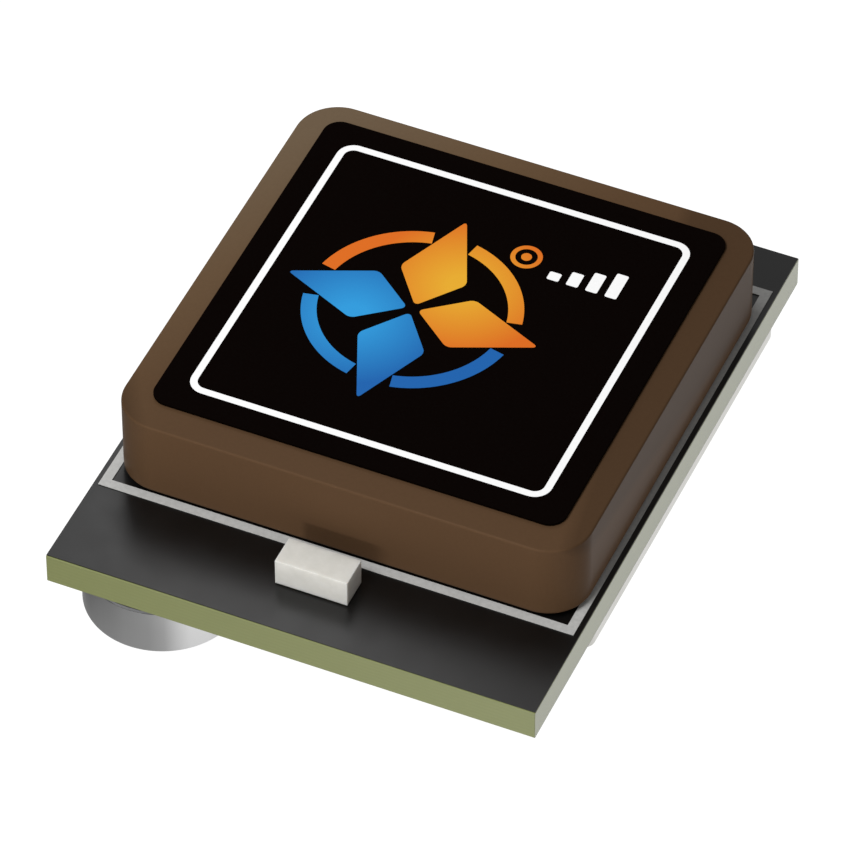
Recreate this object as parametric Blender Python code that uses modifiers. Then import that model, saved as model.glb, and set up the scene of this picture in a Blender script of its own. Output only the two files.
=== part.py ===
"""Satellite positioning module: a ceramic patch antenna on a small circuit board.

The antenna stands on the top side of the board, in a printed frame, with a label on it.
Under the board a drawn metal can screens the receiver circuit, and a coin cell beside it
keeps the clock running. Units are metres and +Z is up. The front is -Y. The origin is in
the middle of the plane that the module rests on.
"""
import math

import bmesh
import bpy
from mathutils import Matrix, Vector

# Film of solder, glue or ink between a piece and what it sits on
SEAT_GAP = 0.00002

# Antenna block, a little to the right of the board's middle
ANTENNA_SIZE = 0.0220
ANTENNA_HEIGHT = 0.0040
ANTENNA_RIGHT = 0.0001
ANTENNA_CORNER = 0.0020
ANTENNA_EDGE = 0.0001
TAPE_THICKNESS = 0.0001
TAPE_INSET = 0.0005
SILVER_THICKNESS = 0.00002
PATCH_INSET = 0.0022
PATCH_CORNER_CUT = 0.0015
GROUND_INSET = 0.0002

# Feed pin of the antenna
PIN_DIAMETER = 0.0009
PIN_HEAD_DIAMETER = 0.0020
PIN_HEAD_THICKNESS = 0.00028
PIN_CLEARANCE = 0.0001
PIN_OFFSET = 0.0020
PIN_PROTRUSION = 0.0006
PIN_ISOLATION_RADIUS = 0.0015
SOLDER_RADIUS = 0.0010
SOLDER_HEIGHT = 0.0004
SOLDER_TOE = 0.00005

# Circuit board, which reaches past the antenna by these strips
BOARD_SIDE_STRIP = 0.0005
BOARD_FRONT_STRIP = 0.00510
BOARD_BACK_STRIP = 0.00310
BOARD_THICKNESS = 0.00163

# Printed frame on the board, which reaches past the antenna by these margins
PRINT_SIDE_MARGIN = 0.00025
PRINT_FRONT_MARGIN = 0.00034
PRINT_BACK_MARGIN = 0.00056
PRINT_LINE = 0.00045
INK_THICKNESS = 0.00003

# Label on the antenna, laid a little behind its middle
LABEL_INSET = 0.0013
LABEL_BACK = 0.00015
LABEL_CORNER = 0.0008
LABEL_THICKNESS = 0.0001
BORDER_INSET = 0.0012
BORDER_LINE = 0.00033
BORDER_CORNER = 0.0008
BORDER_THICKNESS = 0.00001

# Indicator lamp behind the front edge
LAMP_WIDTH = 0.0034
LAMP_DEPTH = 0.0015
LAMP_HEIGHT = 0.00137
LAMP_FRONT = 0.00243
LAMP_EDGE = 0.00003
LAMP_LAND_WIDTH = 0.0009
LAMP_LAND_INSET = 0.0001
LAND_THICKNESS = 0.00004

# Coin cell under the board's front left corner
CELL_DIAMETER = 0.00718
CELL_HEIGHT = 0.00237
CELL_LEFT_GAP = 0.00027
CELL_FRONT_GAP = 0.00001
CELL_WALL = 0.00025
CELL_EDGE = 0.00006
CELL_GASKET = 0.0002
CELL_CAP_STEP = 0.0004
CELL_CAP_PROUD = 0.00005
CELL_RIM_REACH = 0.00025
WASHER_CLEARANCE = 0.0001
TAB_THICKNESS = 0.0001
TAB_WIDTH = 0.0016
TAB_BEND = 0.0002
TAB_FOOT = 0.0012
TAB_STANDOFF = 0.0004
TAB_POSITIVE_BACK = 0.0019
TAB_NEGATIVE_BACK = -0.0005

# Screening can under the board, behind the cell
CAN_HEIGHT = 0.0027
CAN_SIDE_INSET = 0.00069
CAN_CELL_GAP = 0.0007
CAN_BACK_INSET = 0.00091
CAN_SHEET = 0.0002
CAN_CORNER = 0.0005
CAN_EDGE = 0.0003

# Vents in the can, in two rows
VENT_RADIUS = 0.00045
VENT_COLUMNS = 5
VENT_PITCH = 0.0040
VENT_ROW_REACH = 0.0052

# Wire pads under the board, measured from the board's right and front edges
PAD_COUNT = 4
PAD_WIDTH = 0.0013
PAD_LENGTH = 0.0020
PAD_PITCH = 0.0020
PAD_RIGHT = 0.0010
PAD_FRONT = 0.0009
PAD_CORNER = 0.0003

# Receiver chip and memory in the can
CHIP_SIZE = 0.0070
CHIP_HEIGHT = 0.0008
CHIP_EDGE = 0.00008
CHIP_MARK_RADIUS = 0.0003
CHIP_MARK_DEPTH = 0.0001
CHIP_MARK_INSET = 0.0009
MEMORY_WIDTH = 0.0030
MEMORY_LENGTH = 0.0040
MEMORY_HEIGHT = 0.0006

# Regulator with bent legs
REGULATOR_WIDTH = 0.0029
REGULATOR_DEPTH = 0.0016
REGULATOR_HEIGHT = 0.0010
REGULATOR_STANDOFF = 0.0001
LEG_THICKNESS = 0.00015
LEG_WIDTH = 0.0004
LEG_REACH = 0.0006
LEG_PITCH = 0.00095

# Clock parts: a ceramic base with a metal lid
OSCILLATOR_SIZE = (0.0025, 0.0020)
CRYSTAL_SIZE = (0.0032, 0.0015)
CLOCK_BASE_HEIGHT = 0.0005
CLOCK_LID_HEIGHT = 0.0003
CLOCK_LID_INSET = 0.00015
CLOCK_CORNER = 0.0002

# Radio parts: filters and amplifier
FILTER_SIZE = (0.0014, 0.0011, 0.0005)
AMPLIFIER_SIZE = (0.0015, 0.0010, 0.00055)

# Two-terminal chip parts
SMALL_CHIP = (0.0010, 0.0005, 0.0005)
LARGE_CHIP = (0.0016, 0.0008, 0.0008)
TERMINAL_SHARE = 0.25
TERMINAL_PROUD = 0.00003

# Middles of the parts in the can, measured to the right and back from the feed pin
ANTENNA_FILTER_AT = (0.0026, 0.0)
AMPLIFIER_AT = (0.0048, 0.0)
SECOND_FILTER_AT = (0.0070, 0.0)
CHIP_AT = (0.0050, 0.0070)
MEMORY_AT = (-0.0070, 0.0072)
OSCILLATOR_AT = (-0.0016, 0.0052)
CRYSTAL_AT = (-0.0020, 0.0088)
REGULATOR_AT = (-0.0070, 0.0008)
INPUT_CAPACITOR_AT = (-0.0070, -0.0024)
OUTPUT_CAPACITOR_AT = (-0.0070, 0.0036)
FEED_INDUCTOR_AT = (0.0037, -0.0014)
MATCH_INDUCTOR_AT = (0.0059, -0.0014)
BIAS_RESISTOR_AT = (0.0079, -0.0014)
RESET_RESISTOR_AT = (-0.0040, 0.0030)

# Row of capacitors in front of the receiver chip
ROW_COUNT = 4
ROW_PITCH = 0.0016
ROW_SPACE = 0.0002

# Roundness of the drawn shapes
CORNER_STEPS = 8
ROUND_STEPS = 40
SMALL_ROUND_STEPS = 24

# Heights of the stack, from the rest plane up
CELL_STACK = CELL_HEIGHT + 2.0 * TAB_THICKNESS + 3.0 * SEAT_GAP
UNDERSIDE = max(CAN_HEIGHT + SEAT_GAP, CELL_STACK)
TOP_SIDE = UNDERSIDE + BOARD_THICKNESS
TAPE_BOTTOM = TOP_SIDE + SEAT_GAP
ANTENNA_BOTTOM = TAPE_BOTTOM + TAPE_THICKNESS + SILVER_THICKNESS + 2.0 * SEAT_GAP
ANTENNA_TOP = ANTENNA_BOTTOM + ANTENNA_HEIGHT
LABEL_BOTTOM = ANTENNA_TOP + SILVER_THICKNESS + 2.0 * SEAT_GAP
LABEL_TOP = LABEL_BOTTOM + LABEL_THICKNESS

# Places on the board
BOARD_WIDTH = ANTENNA_SIZE + 2.0 * BOARD_SIDE_STRIP
BOARD_LENGTH = BOARD_FRONT_STRIP + ANTENNA_SIZE + BOARD_BACK_STRIP
FRONT_EDGE = -BOARD_LENGTH / 2.0
LEFT_EDGE = -BOARD_WIDTH / 2.0
RIGHT_EDGE = BOARD_WIDTH / 2.0
ANTENNA_Y = FRONT_EDGE + BOARD_FRONT_STRIP + ANTENNA_SIZE / 2.0
PIN_PLACE = (ANTENNA_RIGHT, ANTENNA_Y - PIN_OFFSET)
PIN_HOLE_RADIUS = PIN_DIAMETER / 2.0 + PIN_CLEARANCE
PIN_SEAT_RADIUS = PIN_HEAD_DIAMETER / 2.0 + PIN_CLEARANCE
CELL_RADIUS = CELL_DIAMETER / 2.0
CELL_PLACE = (LEFT_EDGE + CELL_LEFT_GAP + CELL_RADIUS, FRONT_EDGE + CELL_FRONT_GAP + CELL_RADIUS)
CAN_FRONT = FRONT_EDGE + CELL_FRONT_GAP + CELL_DIAMETER + CAN_CELL_GAP
CAN_BACK = BOARD_LENGTH / 2.0 - CAN_BACK_INSET

for stale in list(bpy.data.objects):
    bpy.data.objects.remove(stale, do_unlink=True)


def collection(name):
    """A new collection under the scene."""
    group = bpy.data.collections.new(name)
    bpy.context.scene.collection.children.link(group)
    return group


PARTS = collection("gps_module")
CUTTERS = collection("cutters")


def finish(name, colour, roughness, metallic=0.0):
    """A plain surface for one kind of material."""
    material = bpy.data.materials.new(name)
    material.use_nodes = True
    shader = material.node_tree.nodes["Principled BSDF"]
    shader.inputs["Base Color"].default_value = (*colour, 1.0)
    shader.inputs["Roughness"].default_value = roughness
    shader.inputs["Metallic"].default_value = metallic
    return material


SOLDER_MASK = finish("solder_mask_black", (0.020, 0.018, 0.016), 0.35)
WHITE_INK = finish("printed_ink_white", (0.75, 0.75, 0.74), 0.6)
CERAMIC_BROWN = finish("fired_ceramic_brown", (0.095, 0.055, 0.030), 0.65)
SILVER_FILM = finish("fired_silver", (0.80, 0.78, 0.74), 0.35, 1.0)
TAPE_WHITE = finish("adhesive_tape", (0.70, 0.68, 0.62), 0.8)
BRASS_PLATED = finish("tinned_brass", (0.72, 0.66, 0.50), 0.3, 1.0)
SOLDER_TIN = finish("solder_tin", (0.70, 0.70, 0.72), 0.3, 1.0)
LABEL_BLACK = finish("label_film_black", (0.002, 0.001, 0.001), 0.5)
LAMP_WHITE = finish("lamp_body_white", (0.72, 0.71, 0.68), 0.6)
CAN_NICKEL = finish("nickel_silver_sheet", (0.78, 0.78, 0.75), 0.35, 1.0)
CELL_STEEL = finish("cell_nickel_steel", (0.42, 0.42, 0.42), 0.35, 1.0)
GASKET_GREY = finish("cell_gasket_nylon", (0.20, 0.20, 0.20), 0.6)
GOLD_PLATE = finish("gold_plate", (0.85, 0.62, 0.25), 0.25, 1.0)
MOULD_BLACK = finish("epoxy_mould_black", (0.03, 0.03, 0.03), 0.6)
CERAMIC_WHITE = finish("package_ceramic", (0.55, 0.52, 0.46), 0.5)
CERAMIC_TAN = finish("capacitor_ceramic", (0.42, 0.30, 0.18), 0.5)


def box_shape(size, corner=0.0):
    """A box about its own middle, whose upright corners may be rounded."""
    shape = bmesh.new()
    bmesh.ops.create_cube(shape, size=1.0)
    bmesh.ops.scale(shape, vec=Vector(size), verts=shape.verts)
    if corner > 0.0:
        upright = []
        for edge in shape.edges:
            if abs(edge.verts[0].co.z - edge.verts[1].co.z) > size[2] / 2.0:
                upright.append(edge)
        bmesh.ops.bevel(shape, geom=upright, offset=corner, segments=CORNER_STEPS,
                        profile=0.5, affect="EDGES")
    return shape


def add_object(name, shape, place, material=None, group=PARTS, smooth=False):
    """An object from a shape, with its place as its location."""
    mesh = bpy.data.meshes.new(name)
    shape.to_mesh(mesh)
    shape.free()
    if smooth:
        mesh.shade_smooth()
        mesh.set_sharp_from_angle(angle=math.radians(35.0))
    part = bpy.data.objects.new(name, mesh)
    part.location = place
    group.objects.link(part)
    if material:
        mesh.materials.append(material)
    return part


def block(name, size, place, material, corner=0.0, edge=0.0, edge_steps=1):
    """A box that stands on place, the middle of its lower face."""
    middle = (place[0], place[1], place[2] + size[2] / 2.0)
    part = add_object(name, box_shape(size, corner), middle, material, smooth=corner > 0.0)
    if edge > 0.0:
        round_edges(part, edge, edge_steps)
    return part


def hung_block(name, size, place, material, corner=0.0, edge=0.0):
    """A box that hangs from the board's underside at place, with its film of solder."""
    low = (place[0], place[1], UNDERSIDE - SEAT_GAP - size[2])
    return block(name, size, low, material, corner, edge)


def round_edges(part, radius, steps):
    """Rounds the sharp edges of a part."""
    bevel = part.modifiers.new("edge_round", "BEVEL")
    bevel.width = radius
    bevel.segments = steps
    bevel.limit_method = "ANGLE"
    bevel.angle_limit = math.radians(60.0)
    bevel.harden_normals = False


def as_cutter(cutter):
    """Marks an object as a cutting tool that doesn't show."""
    cutter.hide_render = True
    cutter.display_type = "WIRE"
    return cutter


def round_cutter(name, radius, low, high, place, steps=SMALL_ROUND_STEPS):
    """An upright cylinder from low to high at place."""
    shape = bmesh.new()
    bmesh.ops.create_cone(shape, cap_ends=True, segments=steps, radius1=radius,
                          radius2=radius, depth=high - low)
    middle = (place[0], place[1], (low + high) / 2.0)
    return as_cutter(add_object(name, shape, middle, group=CUTTERS))


def box_cutter(name, size, middle, corner=0.0):
    """A box about a place."""
    return as_cutter(add_object(name, box_shape(size, corner), middle, group=CUTTERS))


def combine(part, tool, operation="DIFFERENCE"):
    """Cuts a tool out of a part, or joins it to the part."""
    boolean = part.modifiers.new(tool.name, "BOOLEAN")
    boolean.operation = operation
    boolean.solver = "EXACT"
    boolean.object = tool


def turned(name, profile, place, material, closed=False, steps=ROUND_STEPS):
    """A turned part from (radius, height) points that run down its outer side."""
    shape = bmesh.new()
    points = [shape.verts.new((radius, 0.0, height)) for radius, height in profile]
    for first, second in zip(points, points[1:]):
        shape.edges.new((first, second))
    if closed:
        shape.edges.new((points[-1], points[0]))
    part = add_object(name, shape, place, material)
    screw = part.modifiers.new("turn", "SCREW")
    screw.axis = "Z"
    screw.angle = 2.0 * math.pi
    screw.steps = steps
    screw.render_steps = steps
    screw.use_merge_vertices = True
    screw.merge_threshold = 0.000001
    screw.use_smooth_shade = True
    return part


def arc(centre, reach, rise, start, end, steps=4):
    """Points round a centre, in degrees, with a radius outwards and one upwards."""
    points = []
    for step in range(steps + 1):
        angle = math.radians(start + (end - start) * step / steps)
        points.append((centre[0] + reach * math.cos(angle), centre[1] + rise * math.sin(angle)))
    return points


def bent_path(corners, radius, steps=4):
    """A path in the XZ plane through corners, each bend rounded to the radius."""
    path = [Vector(corners[0])]
    for before, corner, after in zip(corners, corners[1:], corners[2:]):
        corner = Vector(corner)
        incoming = (corner - Vector(before)).normalized()
        outgoing = (Vector(after) - corner).normalized()
        turn = incoming.angle(outgoing)
        setback = radius * math.tan(turn / 2.0)
        start = corner - incoming * setback
        inward = (outgoing - incoming).normalized()
        middle = corner + inward * radius / math.cos(turn / 2.0)
        spoke = start - middle
        sense = 1.0 if incoming.cross(outgoing) > 0.0 else -1.0
        for step in range(steps + 1):
            rotation = Matrix.Rotation(sense * turn * step / steps, 2)
            path.append(middle + rotation @ spoke)
    path.append(Vector(corners[-1]))
    return path


def strip(name, path, width, thickness, place, material, group=PARTS):
    """A sheet metal strip whose middle follows a path in the XZ plane."""
    shape = bmesh.new()
    near = [shape.verts.new((point.x, -width / 2.0, point.y)) for point in path]
    far = [shape.verts.new((point.x, width / 2.0, point.y)) for point in path]
    for index in range(len(path) - 1):
        shape.faces.new((near[index], near[index + 1], far[index + 1], far[index]))
    part = add_object(name, shape, place, material, group=group)
    sheet = part.modifiers.new("sheet", "SOLIDIFY")
    sheet.thickness = thickness
    sheet.offset = 0.0
    sheet.use_even_offset = True
    return part


def make_board():
    """Glass-epoxy board with the plated hole for the antenna's pin."""
    size = (BOARD_WIDTH, BOARD_LENGTH, BOARD_THICKNESS)
    board = block("circuit_board", size, (0.0, 0.0, UNDERSIDE), SOLDER_MASK)
    hole = round_cutter("board_pin_hole", PIN_HOLE_RADIUS, UNDERSIDE - BOARD_THICKNESS,
                        TOP_SIDE + BOARD_THICKNESS, PIN_PLACE)
    combine(board, hole)


def make_printed_frame():
    """White printed outline on the board round the antenna."""
    width = ANTENNA_SIZE + 2.0 * PRINT_SIDE_MARGIN
    length = ANTENNA_SIZE + PRINT_FRONT_MARGIN + PRINT_BACK_MARGIN
    middle = ANTENNA_Y + (PRINT_BACK_MARGIN - PRINT_FRONT_MARGIN) / 2.0
    low = TOP_SIDE + SEAT_GAP
    frame = block("printed_frame", (width, length, INK_THICKNESS), (0.0, middle, low), WHITE_INK)
    opening = box_cutter("printed_frame_opening",
                         (width - 2.0 * PRINT_LINE, length - 2.0 * PRINT_LINE, 4.0 * INK_THICKNESS),
                         (0.0, middle, low + INK_THICKNESS / 2.0))
    combine(frame, opening)


def make_antenna():
    """Ceramic block with silver on both faces, taped to the board and fed by a pin."""
    centre = (ANTENNA_RIGHT, ANTENNA_Y)
    tape_size = ANTENNA_SIZE - 2.0 * TAPE_INSET
    tape_corner = ANTENNA_CORNER - TAPE_INSET
    tape = block("antenna_tape", (tape_size, tape_size, TAPE_THICKNESS), (*centre, TAPE_BOTTOM),
                 TAPE_WHITE, tape_corner)
    ground_bottom = TAPE_BOTTOM + TAPE_THICKNESS + SEAT_GAP
    ground_size = ANTENNA_SIZE - 2.0 * (ANTENNA_EDGE + GROUND_INSET)
    ground_corner = ANTENNA_CORNER - ANTENNA_EDGE - GROUND_INSET
    ground = block("ground_electrode", (ground_size, ground_size, SILVER_THICKNESS),
                   (*centre, ground_bottom), SILVER_FILM, ground_corner)
    isolation = round_cutter("pin_isolation", PIN_ISOLATION_RADIUS, TOP_SIDE - TAPE_THICKNESS,
                             ANTENNA_BOTTOM + TAPE_THICKNESS, PIN_PLACE, SMALL_ROUND_STEPS)
    combine(tape, isolation)
    combine(ground, isolation)

    ceramic = block("antenna_ceramic", (ANTENNA_SIZE, ANTENNA_SIZE, ANTENNA_HEIGHT),
                    (*centre, ANTENNA_BOTTOM), CERAMIC_BROWN, ANTENNA_CORNER, ANTENNA_EDGE, 2)
    bore = round_cutter("ceramic_bore", PIN_HOLE_RADIUS, ANTENNA_BOTTOM - ANTENNA_HEIGHT,
                        ANTENNA_TOP + ANTENNA_HEIGHT, PIN_PLACE)
    seat_depth = PIN_HEAD_THICKNESS + SEAT_GAP
    seat = round_cutter("ceramic_pin_seat", PIN_SEAT_RADIUS, ANTENNA_TOP - seat_depth,
                        LABEL_TOP + seat_depth, PIN_PLACE, SMALL_ROUND_STEPS)
    combine(ceramic, bore)
    combine(ceramic, seat)

    patch_size = ANTENNA_SIZE - 2.0 * PATCH_INSET
    patch = block("patch_electrode", (patch_size, patch_size, SILVER_THICKNESS),
                  (*centre, ANTENNA_TOP + SEAT_GAP), SILVER_FILM)
    for name, side in (("patch_cut_front_left", -1.0), ("patch_cut_back_right", 1.0)):
        reach = side * patch_size / 2.0
        trim = box_cutter(name, (2.0 * PATCH_CORNER_CUT, 2.0 * PATCH_CORNER_CUT, ANTENNA_HEIGHT),
                          (ANTENNA_RIGHT + reach, ANTENNA_Y + reach, ANTENNA_TOP))
        trim.rotation_euler = (0.0, 0.0, math.radians(45.0))
        combine(patch, trim)
    combine(patch, seat)


def make_feed_pin():
    """Flat-headed pin through the antenna and the board, soldered below."""
    head_bottom = ANTENNA_TOP - PIN_HEAD_THICKNESS
    tip = UNDERSIDE - PIN_PROTRUSION
    shank = PIN_DIAMETER / 2.0
    profile = [(0.0, ANTENNA_TOP), (PIN_HEAD_DIAMETER / 2.0, ANTENNA_TOP),
               (PIN_HEAD_DIAMETER / 2.0, head_bottom), (shank, head_bottom),
               (shank, tip + PIN_CLEARANCE), (shank - PIN_CLEARANCE, tip), (0.0, tip)]
    turned("feed_pin", profile, (*PIN_PLACE, 0.0), BRASS_PLATED, steps=SMALL_ROUND_STEPS)

    face = UNDERSIDE - SEAT_GAP
    inner = shank + SEAT_GAP
    toe = inner + SOLDER_TOE
    outline = [(inner, face)]
    outline += arc((SOLDER_RADIUS, face - SOLDER_HEIGHT), SOLDER_RADIUS - toe, SOLDER_HEIGHT, 90.0, 180.0)
    outline.append((inner, face - SOLDER_HEIGHT))
    turned("feed_pin_solder", outline, (*PIN_PLACE, 0.0), SOLDER_TIN, True, SMALL_ROUND_STEPS)


def make_label():
    """Black film label on the antenna, with its white printed border."""
    centre = (ANTENNA_RIGHT, ANTENNA_Y + LABEL_BACK)
    label_size = ANTENNA_SIZE - 2.0 * LABEL_INSET
    block("antenna_label", (label_size, label_size, LABEL_THICKNESS), (*centre, LABEL_BOTTOM),
          LABEL_BLACK, LABEL_CORNER)
    border_size = label_size - 2.0 * BORDER_INSET
    border_bottom = LABEL_TOP + SEAT_GAP
    border = block("label_border", (border_size, border_size, BORDER_THICKNESS),
                   (*centre, border_bottom), WHITE_INK, BORDER_CORNER)
    opening_size = border_size - 2.0 * BORDER_LINE
    opening = box_cutter("label_border_opening",
                         (opening_size, opening_size, 4.0 * BORDER_THICKNESS),
                         (*centre, border_bottom + BORDER_THICKNESS / 2.0),
                         BORDER_CORNER - BORDER_LINE)
    combine(border, opening)


def make_lamp():
    """Indicator lamp behind the front edge, on its two solder lands."""
    middle = FRONT_EDGE + LAMP_FRONT + LAMP_DEPTH / 2.0
    land_bottom = TOP_SIDE + SEAT_GAP
    lamp_bottom = land_bottom + LAND_THICKNESS + SEAT_GAP
    block("indicator_lamp", (LAMP_WIDTH, LAMP_DEPTH, LAMP_HEIGHT), (0.0, middle, lamp_bottom),
          LAMP_WHITE, edge=LAMP_EDGE)
    reach = LAMP_WIDTH / 2.0 - LAMP_LAND_INSET - LAMP_LAND_WIDTH / 2.0
    for name, side in (("lamp_land_left", -1.0), ("lamp_land_right", 1.0)):
        block(name, (LAMP_LAND_WIDTH, LAMP_DEPTH - 2.0 * LAMP_LAND_INSET, LAND_THICKNESS),
              (side * reach, middle, land_bottom), GOLD_PLATE)


def make_can():
    """Drawn sheet can with vents, open towards the board, whose rim is soldered to it."""
    length = CAN_BACK - CAN_FRONT
    size = (BOARD_WIDTH - 2.0 * CAN_SIDE_INSET, length, CAN_HEIGHT)
    shape = box_shape(size, CAN_CORNER)
    lid = [face for face in shape.faces if face.normal.z > 0.5]
    bmesh.ops.delete(shape, geom=lid, context="FACES")
    fold = []
    for edge in shape.edges:
        if edge.verts[0].co.z < 0.0 and edge.verts[1].co.z < 0.0:
            fold.append(edge)
    bmesh.ops.bevel(shape, geom=fold, offset=CAN_EDGE, segments=4, profile=0.5, affect="EDGES")
    middle = (0.0, (CAN_FRONT + CAN_BACK) / 2.0, UNDERSIDE - SEAT_GAP - CAN_HEIGHT / 2.0)
    can = add_object("shield_can", shape, middle, CAN_NICKEL, smooth=True)
    sheet = can.modifiers.new("sheet", "SOLIDIFY")
    sheet.thickness = CAN_SHEET
    sheet.offset = -1.0
    sheet.use_even_offset = True
    face = UNDERSIDE - SEAT_GAP - CAN_HEIGHT
    for row, side in (("front", -1.0), ("back", 1.0)):
        for column in range(VENT_COLUMNS):
            across = (column - (VENT_COLUMNS - 1) / 2.0) * VENT_PITCH
            vent = round_cutter(f"can_vent_{row}_{column + 1}", VENT_RADIUS, face - CAN_SHEET,
                                face + 2.0 * CAN_SHEET, (across, middle[1] + side * VENT_ROW_REACH))
            combine(can, vent)


def make_cell():
    """Crimped coin cell with its can down and its cap and washer towards the board."""
    radius = CELL_RADIUS
    base = UNDERSIDE - CELL_STACK + TAB_THICKNESS + SEAT_GAP
    top = base + CELL_HEIGHT
    rim_top = top - CELL_CAP_PROUD
    place = (*CELL_PLACE, 0.0)
    rim_inner = radius - CELL_WALL - CELL_RIM_REACH
    gasket_outer = radius - CELL_WALL - SEAT_GAP
    gasket_inner = gasket_outer - CELL_GASKET
    cap_flange = gasket_inner - SEAT_GAP
    cap_neck = cap_flange - CELL_CAP_STEP
    lip_top = rim_top - CELL_WALL - SEAT_GAP
    lip_bottom = lip_top - CELL_GASKET
    floor = base + CELL_WALL

    outside = arc((radius - CELL_EDGE, rim_top - CELL_EDGE), CELL_EDGE, CELL_EDGE, 90.0, 0.0)
    outside += arc((radius - CELL_EDGE, base + CELL_EDGE), CELL_EDGE, CELL_EDGE, 0.0, -90.0)
    can = outside + [(0.0, base), (0.0, floor), (radius - CELL_WALL, floor),
                     (radius - CELL_WALL, rim_top - CELL_WALL), (rim_inner, rim_top - CELL_WALL),
                     (rim_inner, rim_top)]
    axis_first = can.index((0.0, floor))
    profile = can[axis_first:] + can[:axis_first]
    turned("cell_can", profile, place, CELL_STEEL)

    gasket = [(gasket_outer, lip_top), (gasket_outer, floor + SEAT_GAP),
              (gasket_inner, floor + SEAT_GAP), (gasket_inner, lip_bottom),
              (cap_neck + SEAT_GAP, lip_bottom), (cap_neck + SEAT_GAP, lip_top)]
    turned("cell_gasket", gasket, place, GASKET_GREY, closed=True)

    cap = [(0.0, top)]
    cap += arc((cap_neck - CELL_GASKET, top - CELL_GASKET), CELL_GASKET, CELL_GASKET, 90.0, 0.0, 3)
    cap += [(cap_neck, lip_bottom - SEAT_GAP), (cap_flange, lip_bottom - SEAT_GAP),
            (cap_flange, floor + 2.0 * SEAT_GAP), (0.0, floor + 2.0 * SEAT_GAP)]
    turned("cell_cap", cap, place, CELL_STEEL)

    washer_low = rim_top + SEAT_GAP
    washer_high = UNDERSIDE - SEAT_GAP
    outer = radius
    inner = cap_neck + WASHER_CLEARANCE
    ring = [(outer, washer_high), (outer, washer_low), (inner, washer_low), (inner, washer_high)]
    washer = turned("cell_washer", ring, place, GASKET_GREY, closed=True)
    slot = box_cutter("washer_slot",
                      (2.0 * radius, TAB_WIDTH + 2.0 * WASHER_CLEARANCE, CELL_HEIGHT),
                      (place[0] + radius, place[1] + TAB_NEGATIVE_BACK, washer_low))
    combine(washer, slot)

    half_tab = TAB_THICKNESS / 2.0
    low = base - SEAT_GAP - half_tab
    high = UNDERSIDE - SEAT_GAP - half_tab
    upright = radius + TAB_STANDOFF
    corners = [(-radius / 2.0, low), (upright, low), (upright, high), (upright + TAB_FOOT, high)]
    strip("cell_tab_positive", bent_path(corners, TAB_BEND), TAB_WIDTH, TAB_THICKNESS,
          (place[0], place[1] + TAB_POSITIVE_BACK, 0.0), CELL_STEEL)
    straight = [Vector((-radius / 2.0, high)), Vector((upright + TAB_FOOT, high))]
    strip("cell_tab_negative", straight, TAB_WIDTH, TAB_THICKNESS,
          (place[0], place[1] + TAB_NEGATIVE_BACK, 0.0), CELL_STEEL)


def make_wire_pads():
    """Gold-plated pads for the power and data wires, in a row behind the front edge."""
    for number in range(PAD_COUNT):
        across = RIGHT_EDGE - PAD_RIGHT - PAD_WIDTH / 2.0 - number * PAD_PITCH
        hung_block(f"wire_pad_{number + 1}", (PAD_WIDTH, PAD_LENGTH, LAND_THICKNESS),
                   (across, FRONT_EDGE + PAD_FRONT + PAD_LENGTH / 2.0), GOLD_PLATE, PAD_CORNER)


def marked_chip(name, size, place):
    """Moulded package with a dimple at its first terminal."""
    chip = hung_block(name, size, place, MOULD_BLACK, edge=CHIP_EDGE)
    low = UNDERSIDE - SEAT_GAP - size[2]
    corner = (place[0] - size[0] / 2.0 + CHIP_MARK_INSET, place[1] + size[1] / 2.0 - CHIP_MARK_INSET)
    dimple = round_cutter(name + "_dimple", CHIP_MARK_RADIUS, low - CHIP_MARK_DEPTH,
                          low + CHIP_MARK_DEPTH, corner, 16)
    combine(chip, dimple)


def clock_part(name, size, place):
    """Ceramic base that hangs from the board, with a metal lid soldered on it."""
    hung_block(name + "_base", (*size, CLOCK_BASE_HEIGHT), place, CERAMIC_WHITE)
    lid_size = (size[0] - 2.0 * CLOCK_LID_INSET, size[1] - 2.0 * CLOCK_LID_INSET, CLOCK_LID_HEIGHT)
    low = UNDERSIDE - 2.0 * SEAT_GAP - CLOCK_BASE_HEIGHT - CLOCK_LID_HEIGHT
    block(name + "_lid", lid_size, (*place, low), CAN_NICKEL, CLOCK_CORNER)


def small_part(name, size, place, material, lengthwise=False):
    """Two-terminal chip part: a ceramic bar with a metal cap over each end."""
    length, width, height = size
    low = UNDERSIDE - SEAT_GAP - height
    inner = (length, width - 2.0 * TERMINAL_PROUD, height - 2.0 * TERMINAL_PROUD)
    bar = block(name, inner, (*place, low + TERMINAL_PROUD), material)
    reach = length / 2.0 * (1.0 - TERMINAL_SHARE)
    for label, side in (("_left", -1.0), ("_right", 1.0)):
        offset = side * reach
        middle = (place[0] + offset, place[1], low + height / 2.0)
        if lengthwise:
            middle = (place[0], place[1] + offset, low + height / 2.0)
        cap = box_cutter(name + label, (length * TERMINAL_SHARE, width, height), middle)
        if lengthwise:
            cap.rotation_euler = (0.0, 0.0, math.radians(90.0))
        combine(bar, cap, "UNION")
    if lengthwise:
        bar.rotation_euler = (0.0, 0.0, math.radians(90.0))


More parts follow.
